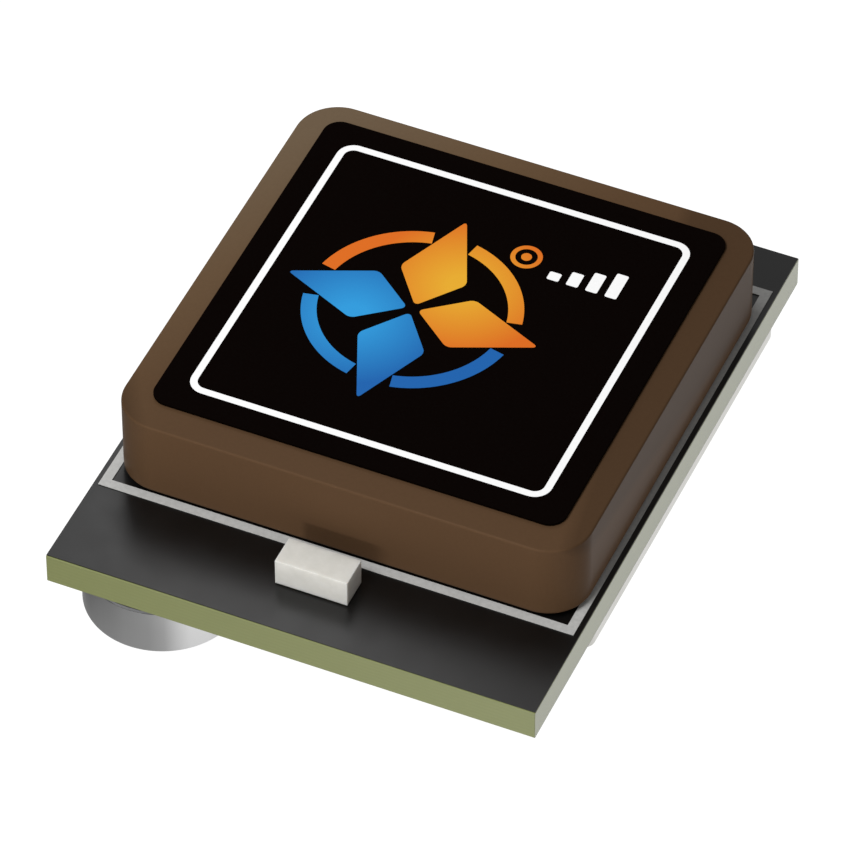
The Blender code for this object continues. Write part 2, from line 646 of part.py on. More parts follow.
def make_regulator(name, place):
    """Moulded regulator on five bent legs, three on one side and two on the other."""
    body_top = UNDERSIDE - SEAT_GAP - REGULATOR_STANDOFF
    size = (REGULATOR_WIDTH, REGULATOR_DEPTH, REGULATOR_HEIGHT)
    body = block(name, size, (*place, body_top - REGULATOR_HEIGHT), MOULD_BLACK, edge=CHIP_EDGE)
    high = UNDERSIDE - SEAT_GAP - LEG_THICKNESS / 2.0
    low = body_top - REGULATOR_HEIGHT / 2.0
    face = REGULATOR_DEPTH / 2.0
    knee = face + LEG_REACH / 2.0
    corners = [(face / 2.0, low), (knee, low), (knee, high), (face + LEG_REACH, high)]
    path = bent_path(corners, LEG_THICKNESS, 2)
    legs = [(-90.0, -1), (-90.0, 0), (-90.0, 1), (90.0, -1), (90.0, 1)]
    for number, (heading, slot) in enumerate(legs, start=1):
        leg = strip(f"{name}_leg_{number}", path, LEG_WIDTH, LEG_THICKNESS,
                    (place[0] + slot * LEG_PITCH, place[1], 0.0), SOLDER_TIN, CUTTERS)
        leg.rotation_euler = (0.0, 0.0, math.radians(heading))
        combine(body, as_cutter(leg), "UNION")


def from_pin(offset):
    """A place on the board, from its offset to the feed pin."""
    return (PIN_PLACE[0] + offset[0], PIN_PLACE[1] + offset[1])


def make_receiver():
    """The receiver circuit that the can covers."""
    hung_block("antenna_filter", FILTER_SIZE, from_pin(ANTENNA_FILTER_AT), CERAMIC_WHITE)
    hung_block("radio_amplifier", AMPLIFIER_SIZE, from_pin(AMPLIFIER_AT), MOULD_BLACK)
    hung_block("second_filter", FILTER_SIZE, from_pin(SECOND_FILTER_AT), CERAMIC_WHITE)
    marked_chip("receiver_chip", (CHIP_SIZE, CHIP_SIZE, CHIP_HEIGHT), from_pin(CHIP_AT))
    marked_chip("flash_memory", (MEMORY_WIDTH, MEMORY_LENGTH, MEMORY_HEIGHT), from_pin(MEMORY_AT))
    clock_part("oscillator", OSCILLATOR_SIZE, from_pin(OSCILLATOR_AT))
    clock_part("clock_crystal", CRYSTAL_SIZE, from_pin(CRYSTAL_AT))
    make_regulator("voltage_regulator", from_pin(REGULATOR_AT))
    small_part("input_capacitor", LARGE_CHIP, from_pin(INPUT_CAPACITOR_AT), CERAMIC_TAN)
    small_part("output_capacitor", LARGE_CHIP, from_pin(OUTPUT_CAPACITOR_AT), CERAMIC_TAN)
    small_part("feed_inductor", SMALL_CHIP, from_pin(FEED_INDUCTOR_AT), CERAMIC_WHITE, True)
    small_part("match_inductor", SMALL_CHIP, from_pin(MATCH_INDUCTOR_AT), CERAMIC_WHITE, True)
    small_part("bias_resistor", SMALL_CHIP, from_pin(BIAS_RESISTOR_AT), MOULD_BLACK, True)
    small_part("reset_resistor", SMALL_CHIP, from_pin(RESET_RESISTOR_AT), MOULD_BLACK, True)
    row_y = CHIP_AT[1] - CHIP_SIZE / 2.0 - ROW_SPACE - SMALL_CHIP[0] / 2.0
    for number in range(ROW_COUNT):
        row_x = CHIP_AT[0] + (number - (ROW_COUNT - 1) / 2.0) * ROW_PITCH
        small_part(f"chip_capacitor_{number + 1}", SMALL_CHIP, from_pin((row_x, row_y)),
                   CERAMIC_TAN, True)


make_board()
make_printed_frame()
make_antenna()
make_feed_pin()
make_label()
make_lamp()
make_can()
make_cell()
make_wire_pads()
make_receiver()
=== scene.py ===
import math

import bmesh
import bpy
from mathutils import Matrix, Vector


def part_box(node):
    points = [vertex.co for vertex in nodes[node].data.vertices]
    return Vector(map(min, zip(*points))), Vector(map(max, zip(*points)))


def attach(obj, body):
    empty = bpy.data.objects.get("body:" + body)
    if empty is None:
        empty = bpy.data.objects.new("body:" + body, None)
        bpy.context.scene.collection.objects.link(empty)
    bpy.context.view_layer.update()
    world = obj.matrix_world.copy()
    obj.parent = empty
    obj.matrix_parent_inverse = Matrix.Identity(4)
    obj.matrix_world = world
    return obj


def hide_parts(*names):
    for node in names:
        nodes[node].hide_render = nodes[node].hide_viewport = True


# Looks of a satellite positioning module, in metres, with +Z up and the front at -Y. The pieces
# follow in the order in which the module is put together, and the studio comes last.
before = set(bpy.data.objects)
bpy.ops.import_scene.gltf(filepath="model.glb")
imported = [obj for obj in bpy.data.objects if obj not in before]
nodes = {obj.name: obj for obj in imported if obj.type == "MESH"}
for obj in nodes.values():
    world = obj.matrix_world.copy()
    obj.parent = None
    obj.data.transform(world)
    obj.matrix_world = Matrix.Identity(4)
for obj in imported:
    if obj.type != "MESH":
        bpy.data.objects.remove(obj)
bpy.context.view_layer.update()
bpy.ops.object.select_all(action="DESELECT")

# Bare board: glass cloth and epoxy pressed into a sheet, routed to size. Its cut edge is never
# coated, so the eye sees olive resin there, with the plies of glass as faint paler lines.
MASK_THICKNESS = 0.00004
ROUTED_EDGE = 0.00003
PIN_HOLE_RADIUS = 0.00055
PLY_THICKNESS = 0.0002
board_low, board_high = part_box("circuit_board")
pin_low, pin_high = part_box("feed_pin")
pin_place = (pin_low + pin_high) / 2.0


def srgb(code):
    """The linear colour of an sRGB hex value."""
    channels = []
    for start in (0, 2, 4):
        value = int(code[start:start + 2], 16) / 255.0
        if value <= 0.04045:
            channels.append(value / 12.92)
        else:
            channels.append(((value + 0.055) / 1.055) ** 2.4)
    return (*channels, 1.0)


def add_node(tree, kind, inputs=None, stops=(), **settings):
    """Adds a node. An input is a value or the output that feeds it, by its name or its number."""
    added = tree.nodes.new(kind)
    for name, value in settings.items():
        setattr(added, name, value)
    for name, value in (inputs or {}).items():
        if isinstance(value, bpy.types.NodeSocket):
            tree.links.new(value, added.inputs[name])
        else:
            added.inputs[name].default_value = value
    for index, (place, code) in enumerate(stops):
        if index > 1:
            added.color_ramp.elements.new(place)
        added.color_ramp.elements[index].position = place
        added.color_ramp.elements[index].color = srgb(code)
    return added.outputs[0]


def start_material(name, surface):
    """A material with its shader's own values, and the object coordinates its patterns read."""
    material = bpy.data.materials.new(name)
    material.use_nodes = True
    tree = material.node_tree
    shader = tree.nodes["Principled BSDF"]
    for socket, value in surface.items():
        shader.inputs[socket].default_value = value
    place = tree.nodes.new("ShaderNodeTexCoord").outputs["Object"]
    return material, tree, shader, place


def feed(tree, shader, **sockets):
    """Links patterns to a shader's sockets: colour, roughness or normal."""
    names = {"colour": "Base Color", "roughness": "Roughness", "normal": "Normal"}
    for name, output in sockets.items():
        tree.links.new(output, shader.inputs[names[name]])


def open_piece(name):
    """Names the primitive just added, puts its place into its mesh and opens it for shaping."""
    piece = bpy.context.object
    piece.name = name
    piece.data.name = name
    bpy.ops.object.transform_apply(location=True, rotation=True, scale=True)
    bpy.ops.object.mode_set(mode="EDIT")
    bpy.ops.mesh.select_all(action="DESELECT")
    return piece


def choose(kind, test):
    """Selects the verts, edges or faces that pass a test, which is given each one and its middle."""
    mode = {"verts": "VERT", "edges": "EDGE", "faces": "FACE"}[kind]
    bpy.ops.mesh.select_mode(type=mode)
    bpy.ops.mesh.select_all(action="DESELECT")
    mesh = bpy.context.edit_object.data
    shape = bmesh.from_edit_mesh(mesh)
    for element in getattr(shape, kind):
        corners = [element] if kind == "verts" else element.verts
        middle = sum((corner.co for corner in corners), Vector()) / len(corners)
        if test(element, middle):
            element.select_set(True)
    bmesh.update_edit_mesh(mesh)


def upright(edge, middle):
    """True for an edge that runs along Z."""
    along = edge.verts[0].co - edge.verts[1].co
    return abs(along.z) > 0.9 * along.length


def close_piece(piece, material, smooth=35.0):
    """Ends the shaping, smooths what is round and gives the piece its material."""
    bpy.ops.object.mode_set(mode="OBJECT")
    bpy.ops.object.select_all(action="DESELECT")
    piece.select_set(True)
    bpy.context.view_layer.objects.active = piece
    bpy.ops.object.shade_smooth_by_angle(angle=math.radians(smooth))
    even = piece.modifiers.new("even", "WEIGHTED_NORMAL")
    even.keep_sharp = True
    bpy.ops.object.modifier_apply(modifier=even.name)
    piece.data.materials.clear()
    piece.data.materials.append(material)
    bpy.ops.object.select_all(action="DESELECT")
    return piece


def bore(piece, radius, low, high, place, sides=48):
    """Bores an upright hole from low to high through a closed piece, and ends its shaping."""
    bpy.ops.object.mode_set(mode="OBJECT")
    bpy.ops.mesh.primitive_cylinder_add(vertices=sides, radius=radius, depth=high - low,
                                        location=(place[0], place[1], (low + high) / 2.0))
    drill = bpy.context.object
    hole = piece.modifiers.new("hole", "BOOLEAN")
    hole.operation = "DIFFERENCE"
    hole.solver = "EXACT"
    hole.object = drill
    bpy.context.view_layer.objects.active = piece
    bpy.ops.object.modifier_apply(modifier=hole.name)
    bpy.data.objects.remove(drill, do_unlink=True)


glass_epoxy, tree, shader, place = start_material(
    "glass_epoxy_laminate", {"Roughness": 0.3, "IOR": 1.5,
                             "Coat Weight": 0.26, "Coat Roughness": 0.3})
plies = add_node(tree, "ShaderNodeTexWave",
                 {"Vector": place, "Scale": math.pi / 10.0 / PLY_THICKNESS, "Distortion": 1.6,
                  "Detail": 2.0, "Detail Scale": 0.6}, bands_direction="Z")
resin = add_node(tree, "ShaderNodeTexNoise", {"Vector": place, "Scale": 900.0, "Detail": 4.0})
shade = add_node(tree, "ShaderNodeMath", {0: plies, 1: resin}, operation="MULTIPLY")
colour = add_node(tree, "ShaderNodeValToRGB", {"Fac": shade},
                  stops=[(0.0, "707542"), (0.7, "747946")])
saw_marks = add_node(tree, "ShaderNodeBump",
                     {"Height": plies, "Strength": 0.2, "Distance": 0.000004})
feed(tree, shader, colour=colour, normal=saw_marks)

size = board_high - board_low
size.z -= 2.0 * MASK_THICKNESS
bpy.ops.mesh.primitive_cube_add(size=1.0, location=(board_low + board_high) / 2.0, scale=size)
laminate = open_piece("board_laminate")
bpy.ops.mesh.select_all(action="SELECT")
bpy.ops.mesh.bevel(offset=ROUTED_EDGE, segments=1)
bore(laminate, PIN_HOLE_RADIUS, board_low.z - size.z, board_high.z + size.z, pin_place)
close_piece(laminate, glass_epoxy)
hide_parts("circuit_board")
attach(laminate, "root")

# Solder mask: black epoxy ink flooded over both faces of the board and cured glossy. It stops
# short of the routed edge, most at the two ends, and mirrors softly, with a poured coat's swell.
MASK_INSET_SIDE = 0.00001
MASK_INSET_END = 0.00005
solder_mask, tree, shader, place = start_material(
    "solder_mask_black_gloss", {"IOR": 1.5})
swell = add_node(tree, "ShaderNodeTexNoise", {"Vector": place, "Scale": 700.0, "Detail": 2.0})
pores = add_node(tree, "ShaderNodeTexNoise", {"Vector": place, "Scale": 9000.0, "Detail": 2.0})
colour = add_node(tree, "ShaderNodeValToRGB", {"Fac": pores},
                  stops=[(0.3, "030303"), (0.7, "060505")])
gloss = add_node(tree, "ShaderNodeMapRange",
                 {"Value": swell, "From Min": 0.3, "From Max": 0.7, "To Min": 0.33, "To Max": 0.37})
skin = add_node(tree, "ShaderNodeBump", {"Height": swell, "Strength": 0.2, "Distance": 0.000003})
feed(tree, shader, colour=colour, roughness=gloss, normal=skin)

size = board_high - board_low - Vector((2.0 * MASK_INSET_SIDE, 2.0 * MASK_INSET_END, 0.0))
size.z = MASK_THICKNESS
middle = (board_low + board_high) / 2.0
for name, height in (("board_mask_top", board_high.z - MASK_THICKNESS / 2.0),
                     ("board_mask_under", board_low.z + MASK_THICKNESS / 2.0)):
    bpy.ops.mesh.primitive_cube_add(size=1.0, location=(middle.x, middle.y, height), scale=size)
    mask = open_piece(name)
    bpy.ops.mesh.select_all(action="SELECT")
    bpy.ops.mesh.bevel(offset=MASK_THICKNESS / 3.0, segments=2)
    bore(mask, PIN_HOLE_RADIUS, height - MASK_THICKNESS, height + MASK_THICKNESS, pin_place)
    close_piece(mask, solder_mask)
    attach(mask, "root")

# Tracks and stitching vias under the board: copper etched before the mask went on, so each shows
# as a low rounded ridge or ring in the black. A track leaves each wire pad and each cell tab.
TRACK_RISE = 0.000018
TRACK_WIDTH = 0.0004
TRACK_LEAD = 0.0011
TRACK_JOG = 0.0005
TAB_LEADS = (0.0008, 0.0022)
PAD_LAP = 0.0003
TAB_LAP = 0.0004
CAN_LAP = 0.0004
VIA_RADIUS = 0.0003
VIA_COUNT = 9
VIA_MARGIN = 0.0013
FIRST_FRONT_VIA = 4
FRONT_VIA_MARGIN = 0.0018
FRONT_VIA_GAP = 0.0005
pads = [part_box(f"wire_pad_{number}") for number in range(1, 5)]
can_low, can_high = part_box("shield_can")
tab_low, tab_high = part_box("cell_tab_positive")
cap_tab_low, cap_tab_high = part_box("cell_tab_negative")
under = board_low.z
courses = []
for number, (low, high) in enumerate(pads):
    across = (low.x + high.x) / 2.0
    jog = (number - 3.0) * TRACK_JOG
    courses.append([(across, high.y - PAD_LAP), (across, high.y + TRACK_LEAD),
                    (across + jog, high.y + TRACK_LEAD + abs(jog)),
                    (across + jog, can_low.y + CAN_LAP)])
for low, high, lead in ((tab_low, tab_high, TAB_LEADS[0]), (cap_tab_low, cap_tab_high, TAB_LEADS[1])):
    foot = (high.x - TAB_LAP, (low.y + high.y) / 2.0)
    bend = foot[0] + lead
    courses.append([foot, (bend, foot[1]), (bend + TRACK_JOG, foot[1] + TRACK_JOG),
                    (bend + TRACK_JOG, can_low.y + CAN_LAP)])
ridges = []
for course in courses:
    start = Vector(course[0])
    heading = (Vector(course[1]) - start).normalized()
    turn = math.atan2(heading.y, heading.x)
    bpy.ops.mesh.primitive_plane_add(size=TRACK_WIDTH, rotation=(0.0, 0.0, turn),
                                     location=(start.x, start.y, under - TRACK_RISE))
    ridge = open_piece("track")
    reach = start
    for index, point in enumerate(course[1:], start=1):
        goal = Vector(point)
        ahead = (goal - reach).normalized()
        if index == 1:
            choose("edges", lambda edge, mid: (mid.xy - start).dot(ahead) > 0.4 * TRACK_WIDTH)
            step = goal - start - ahead * TRACK_WIDTH / 2.0
        else:
            step = goal - reach
        bpy.ops.mesh.extrude_region_move(TRANSFORM_OT_translate={"value": (step.x, step.y, 0.0)})
        reach = goal
    bpy.ops.mesh.select_all(action="SELECT")
    bpy.ops.mesh.extrude_region_move(TRANSFORM_OT_translate={"value": (0.0, 0.0, TRACK_RISE)})
    bpy.ops.mesh.select_all(action="SELECT")
    bpy.ops.mesh.normals_make_consistent(inside=False)
    choose("edges", lambda edge, mid: mid.z < under - 0.9 * TRACK_RISE
           and edge.calc_face_angle(0.0) > 1.0)
    bpy.ops.mesh.bevel(offset=0.7 * TRACK_RISE, segments=2)
    ridges.append(close_piece(ridge, solder_mask))

bpy.ops.mesh.primitive_cylinder_add(vertices=24, radius=VIA_RADIUS, depth=TRACK_RISE,
                                    location=(0.0, 0.0, under - TRACK_RISE / 2.0))
ring = open_piece("via")
choose("faces", lambda face, mid: face.normal.z < -0.9)
bpy.ops.mesh.inset(thickness=VIA_RADIUS * 0.45)
bpy.ops.mesh.extrude_region_move(TRANSFORM_OT_translate={"value": (0.0, 0.0, TRACK_RISE * 0.7)})
choose("edges", lambda edge, mid: mid.z < under - 0.9 * TRACK_RISE)
bpy.ops.mesh.bevel(offset=0.4 * TRACK_RISE, segments=2)
close_piece(ring, solder_mask)
back_strip = (can_high.y + board_high.y) / 2.0
front_strip = can_low.y - FRONT_VIA_GAP
row_length = board_high.x - board_low.x - 2.0 * VIA_MARGIN
for number in range(VIA_COUNT):
    along = number * row_length / (VIA_COUNT - 1.0)
    spots = [(board_low.x + VIA_MARGIN + along, back_strip)]
    if number >= FIRST_FRONT_VIA:
        spots.append((board_low.x + FRONT_VIA_MARGIN + along, front_strip))
    for spot in spots:
        copy = ring.copy()
        copy.data = ring.data.copy()
        copy.data.transform(Matrix.Translation((*spot, 0.0)))
        bpy.context.scene.collection.objects.link(copy)
        ridges.append(copy)
bpy.data.objects.remove(ring, do_unlink=True)
for ridge in ridges:
    ridge.select_set(True)
bpy.context.view_layer.objects.active = ridges[0]
bpy.ops.object.join()
relief = bpy.context.object
relief.name = "board_track_relief"
relief.data.name = "board_track_relief"
bpy.ops.object.select_all(action="DESELECT")
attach(relief, "root")

# Printed frame round the antenna: white epoxy ink, screened on and baked. Chalky, and a little
# thin where the mesh of the screen was.
screen_ink, tree, shader, place = start_material(
    "screen_ink_white", {"IOR": 1.45, "Specular IOR Level": 0.2})
mesh_marks = add_node(tree, "ShaderNodeTexNoise", {"Vector": place, "Scale": 6000.0, "Detail": 3.0})
colour = add_node(tree, "ShaderNodeValToRGB", {"Fac": mesh_marks},
                  stops=[(0.3, "b4b4b2"), (0.7, "c0c0be")])
film = add_node(tree, "ShaderNodeBump",
                {"Height": mesh_marks, "Strength": 0.3, "Distance": 0.000003})
shader.inputs["Roughness"].default_value = 0.65
feed(tree, shader, colour=colour, normal=film)


def dress(material, *names):
    """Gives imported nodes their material."""
    for name in names:
        for holder in nodes[name].material_slots:
            holder.material = material


dress(screen_ink, "printed_frame")

# Tape under the antenna: grey acrylic foam with glue on both faces, die cut and squeezed in the
# gap between the block and the board. Matt and cellular.
foam_tape, tree, shader, place = start_material("acrylic_foam_tape", {"Roughness": 0.9})
cells = add_node(tree, "ShaderNodeTexVoronoi", {"Vector": place, "Scale": 12000.0})
colour = add_node(tree, "ShaderNodeValToRGB", {"Fac": cells},
                  stops=[(0.0, "4c4a46"), (0.8, "6a6862")])
feed(tree, shader, colour=colour)
dress(foam_tape, "antenna_tape")

# Electrodes: silver paste screened on both faces of the block and fired, a matt bright metal
# with the fine grain of its powder.
fired_silver, tree, shader, place = start_material("fired_silver_paste", {"Metallic": 1.0})
powder = add_node(tree, "ShaderNodeTexNoise", {"Vector": place, "Scale": 8000.0, "Detail": 4.0})
colour = add_node(tree, "ShaderNodeValToRGB", {"Fac": powder},
                  stops=[(0.3, "d0ccc2"), (0.7, "e6e3da")])
matt = add_node(tree, "ShaderNodeMapRange", {"Value": powder, "To Min": 0.35, "To Max": 0.55})
grain = add_node(tree, "ShaderNodeBump", {"Height": powder, "Strength": 0.4, "Distance": 0.000004})
feed(tree, shader, colour=colour, roughness=matt, normal=grain)
dress(fired_silver, "ground_electrode", "patch_electrode")

# Antenna block: brown dielectric ceramic, pressed from powder, fired and tumbled, so its ridges
# are softly rounded. Matt and fine-grained. Its brown is matched to the photograph with painted
# light paler at the back left, and painted shade along the right ridge and at the front left corner.
BLOCK_CORNER = 0.0020
BLOCK_RIDGE = 0.0001
BLOCK_FOOT = 0.00025
SEAT_RADIUS = 0.0011
SEAT_DEPTH = 0.0003
# How far the painted light spreads, and where painted shade darkens the right ridge and front left
# corner.
PAINTED_LIGHT_REACH = 0.0140
RIDGE_PAINTED_SHADE = ((1.0, 0.15, 1.0), 0.0172, 0.0179, 0.74)
CORNER_PAINTED_SHADE = ((-1.0, -0.6, 0.0), 0.0149, 0.0160, 0.68)
block_low, block_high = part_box("antenna_ceramic")
block_middle = (block_low + block_high) / 2.0
ceramic, tree, shader, place = start_material(
    "fired_dielectric_ceramic", {"IOR": 1.5, "Specular IOR Level": 0.013})
grain = add_node(tree, "ShaderNodeTexNoise",
                 {"Vector": place, "Scale": 7000.0, "Detail": 5.0, "Roughness": 0.6})
across = add_node(tree, "ShaderNodeVectorMath", {0: place, 1: (-0.8, 0.6, 0.0)},
                  operation="DOT_PRODUCT").node.outputs["Value"]
painted_light_spread = add_node(tree, "ShaderNodeMapRange",
                  {"Value": across, "From Min": -PAINTED_LIGHT_REACH, "From Max": PAINTED_LIGHT_REACH})
# Painted light: the brown turns paler towards the back left.
brown_with_painted_light = add_node(tree, "ShaderNodeValToRGB", {"Fac": painted_light_spread},
                 stops=[(0.5, "57412e"), (0.62, "5a4430"), (0.79, "634e39"), (1.0, "6b5a47")])
fine = add_node(tree, "ShaderNodeMapRange", {"Value": grain, "To Min": 0.92, "To Max": 1.08})
grain_and_painted_shade = fine
# A part with painted shade: the way it lies, how far out it starts and is full, and the tone that is
# left.
for toward, start, end, dark in (RIDGE_PAINTED_SHADE, CORNER_PAINTED_SHADE):
    reach = add_node(tree, "ShaderNodeVectorMath", {0: place, 1: toward},
                     operation="DOT_PRODUCT").node.outputs["Value"]
    painted_shade_part = add_node(tree, "ShaderNodeMapRange",
                       {"Value": reach, "From Min": start, "From Max": end,
                        "To Min": 1.0, "To Max": dark})
    grain_and_painted_shade = add_node(tree, "ShaderNodeMath", {0: grain_and_painted_shade, 1: painted_shade_part}, operation="MULTIPLY")
shaded = add_node(tree, "ShaderNodeVectorMath", {0: brown_with_painted_light, 3: grain_and_painted_shade}, operation="SCALE")
pits = add_node(tree, "ShaderNodeTexVoronoi", {"Vector": place, "Scale": 3200.0})
sunk = add_node(tree, "ShaderNodeMapRange", {"Value": pits, "From Min": 0.0, "From Max": 0.16})
surface = add_node(tree, "ShaderNodeMath", {0: grain, 1: sunk}, operation="ADD")
skin = add_node(tree, "ShaderNodeBump", {"Height": surface, "Strength": 0.2, "Distance": 0.000006})
matt = add_node(tree, "ShaderNodeMapRange", {"Value": grain, "To Min": 0.28, "To Max": 0.35})
feed(tree, shader, colour=shaded, roughness=matt, normal=skin)

bpy.ops.mesh.primitive_cube_add(size=1.0, location=block_middle, scale=block_high - block_low)
block = open_piece("antenna_block")
choose("edges", upright)
bpy.ops.mesh.bevel(offset=BLOCK_CORNER, segments=20)
choose("edges", lambda edge, mid: not upright(edge, mid) and mid.z > block_middle.z)
bpy.ops.mesh.bevel(offset=BLOCK_RIDGE, segments=4)
choose("edges", lambda edge, mid: not upright(edge, mid) and mid.z < block_low.z + BLOCK_FOOT)
bpy.ops.mesh.bevel(offset=BLOCK_FOOT, segments=5)
bore(block, PIN_HOLE_RADIUS, block_low.z - SEAT_DEPTH, block_high.z + SEAT_DEPTH, pin_place)
bore(block, SEAT_RADIUS, block_high.z - SEAT_DEPTH, block_high.z + SEAT_DEPTH, pin_place)
close_piece(block, ceramic)
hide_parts("antenna_ceramic")
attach(block, "root")

# Feed pin and its joint: brass wire with a headed end, tinned, pushed through the block and the
# board and soldered below. Bright, and dull in patches where the flux was.
for name, dull, bright, rough in (("tinned_brass", "b9ac86", "d2c7a6", 0.25),
                                  ("solder_tin", "a9acb0", "c9ccd0", 0.22)):
    metal, tree, shader, place = start_material(name, {"Metallic": 1.0})
    patches = add_node(tree, "ShaderNodeTexNoise", {"Vector": place, "Scale": 2600.0, "Detail": 3.0})
    colour = add_node(tree, "ShaderNodeValToRGB", {"Fac": patches}, stops=[(0.3, dull), (0.7, bright)])
    blur = add_node(tree, "ShaderNodeMapRange",
                    {"Value": patches, "To Min": rough, "To Max": rough + 0.2})
    feed(tree, shader, colour=colour, roughness=blur)
dress(bpy.data.materials["tinned_brass"], "feed_pin")
dress(bpy.data.materials["solder_tin"], "feed_pin_solder")
solder = bpy.data.materials["solder_tin"]

# Label: black polyester film, die cut with round corners and stuck on the block, with a screened
# white border. The film is dead matt, so it stays a warm black from every side.
label_film, tree, shader, place = start_material(
    "matt_polyester_film", {"Specular IOR Level": 0.01})
tooth = add_node(tree, "ShaderNodeTexNoise", {"Vector": place, "Scale": 9000.0, "Detail": 3.0})
colour = add_node(tree, "ShaderNodeValToRGB", {"Fac": tooth},
                  stops=[(0.3, "060201"), (0.7, "080403")])
matt = add_node(tree, "ShaderNodeMapRange", {"Value": tooth, "To Min": 0.6, "To Max": 0.75})
skin = add_node(tree, "ShaderNodeBump", {"Height": tooth, "Strength": 0.2, "Distance": 0.000003})
feed(tree, shader, colour=colour, roughness=matt, normal=skin)
dress(label_film, "antenna_label")

label_white, tree, shader, place = start_material(
    "label_ink_white", {"Roughness": 0.6, "Specular IOR Level": 0.2})
mesh_marks = add_node(tree, "ShaderNodeTexNoise", {"Vector": place, "Scale": 7000.0, "Detail": 3.0})
colour = add_node(tree, "ShaderNodeValToRGB", {"Fac": mesh_marks},
                  stops=[(0.3, "fafafa"), (0.7, "ffffff")])
feed(tree, shader, colour=colour)
dress(label_white, "label_border")

# Print on the label: a plain compass rose in orange and blue, and four rising bars beside a ring
# for the signal. Each colour is one pass of the screen, laid thicker in its middle.
INK_THICKNESS = 0.00001
ROSE_REACH = 0.0060
ROSE_SHOULDER = 0.0023
ROSE_HALF_WIDTH = 0.0016
ROSE_HEART = 0.00025
ROSE_CORNER = 0.00025
INK_POOL = 0.0042
label_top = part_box("antenna_label")[1].z
rose_place = Vector((-0.0013, 0.0011, label_top + INK_THICKNESS))
inks = {}
for name, rim, heart, aside in (("orange", "dd6c1c", "e8ac2e", (0.0014, 0.0022, 0.0)),
                                ("blue", "1b62ad", "2f9bdc", (-0.0022, -0.0014, 0.0))):
    ink, tree, shader, place = start_material(
        f"label_ink_{name}", {"Roughness": 0.55, "Specular IOR Level": 0.1})
    centred = add_node(tree, "ShaderNodeMapping",
                       {"Vector": place, "Location": rose_place + Vector(aside),
                        "Scale": (INK_POOL, INK_POOL, 1.0)},
                       vector_type="TEXTURE")
    thick = add_node(tree, "ShaderNodeTexGradient", {"Vector": centred}, gradient_type="SPHERICAL")
    colour = add_node(tree, "ShaderNodeValToRGB", {"Fac": thick}, stops=[(0.0, rim), (0.85, heart)])
    mesh_marks = add_node(tree, "ShaderNodeTexNoise", {"Vector": place, "Scale": 7000.0})
    film = add_node(tree, "ShaderNodeBump",
                    {"Height": mesh_marks, "Strength": 0.2, "Distance": 0.000002})
    feed(tree, shader, colour=colour, normal=film)
    inks[name] = ink
inks["white"] = label_white


def raise_print(corner):
    """Rounds the corners of the flat shape that is open and gives it the thickness of the ink."""
    if corner:
        bpy.ops.mesh.select_all(action="SELECT")
        bpy.ops.mesh.bevel(offset=corner, segments=6, affect="VERTICES")
    bpy.ops.mesh.select_all(action="SELECT")
    bpy.ops.mesh.extrude_region_move(TRANSFORM_OT_translate={"value": (0.0, 0.0, INK_THICKNESS)})
    bpy.ops.mesh.select_all(action="SELECT")
    bpy.ops.mesh.normals_make_consistent(inside=False)


def print_copy(shape, turn):
    """A copy of a printed shape, turned about the middle of the rose."""
    copy = shape.copy()
    copy.data = shape.data.copy()
    swing = Matrix.Translation(rose_place) @ Matrix.Rotation(math.radians(turn), 4, "Z")
    copy.data.transform(swing @ Matrix.Translation(-rose_place))
    bpy.context.scene.collection.objects.link(copy)
    return copy


printed = {"orange": [], "blue": [], "white": []}
spot = rose_place + Vector((ROSE_SHOULDER, 0.0, 0.0))
bpy.ops.mesh.primitive_circle_add(vertices=4, radius=ROSE_HALF_WIDTH, fill_type="NGON",
                                  location=spot)
point = open_piece("point")
choose("verts", lambda vert, mid: mid.x > spot.x + ROSE_HALF_WIDTH / 2.0)
bpy.ops.transform.translate(value=(ROSE_REACH - ROSE_SHOULDER - ROSE_HALF_WIDTH, 0.0, 0.0))
choose("verts", lambda vert, mid: mid.x < spot.x - ROSE_HALF_WIDTH / 2.0)
bpy.ops.transform.translate(value=(ROSE_HEART - ROSE_SHOULDER + ROSE_HALF_WIDTH, 0.0, 0.0))
raise_print(ROSE_CORNER)
close_piece(point, inks["orange"])

RING_INNER = 0.0042
RING_OUTER = 0.0049
RING_HALF_ANGLE = 32.0
bpy.ops.mesh.primitive_circle_add(vertices=120, radius=RING_OUTER, fill_type="NGON",
                                  location=rose_place)
arc_piece = open_piece("ring")
bpy.ops.mesh.select_all(action="SELECT")
bpy.ops.mesh.inset(thickness=RING_OUTER - RING_INNER)
bpy.ops.mesh.delete(type="ONLY_FACE")
for side in (-1.0, 1.0):
    lean = math.radians(45.0 + side * RING_HALF_ANGLE)
    across = Vector((-math.sin(lean), math.cos(lean), 0.0)) * side
    bpy.ops.mesh.select_all(action="SELECT")
    bpy.ops.mesh.bisect(plane_co=rose_place, plane_no=across, clear_outer=True)
choose("faces", lambda face, mid: (mid - rose_place).x + (mid - rose_place).y < 0.0)
bpy.ops.mesh.delete(type="FACE")
raise_print(0.0)
close_piece(arc_piece, inks["orange"])

for shape in (point, arc_piece):
    for angle in (0.0, 90.0, 180.0, 270.0):
        name = "orange" if angle < 135.0 else "blue"
        printed[name].append(print_copy(shape, angle))
    bpy.data.objects.remove(shape, do_unlink=True)

BAR_COUNT = 4
BAR_WIDTH = 0.00056
BAR_PITCH = 0.00092
BAR_HEIGHT = 0.0005
BAR_STEP = 0.00035
BAR_CORNER = 0.00008
BAR_FOOT = Vector((0.0036, 0.0052, rose_place.z))
for number in range(BAR_COUNT):
    height = BAR_HEIGHT + BAR_STEP * number
    spot = BAR_FOOT + Vector((number * BAR_PITCH, height / 2.0, 0.0))
    bpy.ops.mesh.primitive_plane_add(size=1.0, location=spot)
    bpy.context.object.scale = (BAR_WIDTH, height, 1.0)
    bar = open_piece("bar")
    raise_print(BAR_CORNER)
    printed["white"].append(close_piece(bar, inks["white"]))

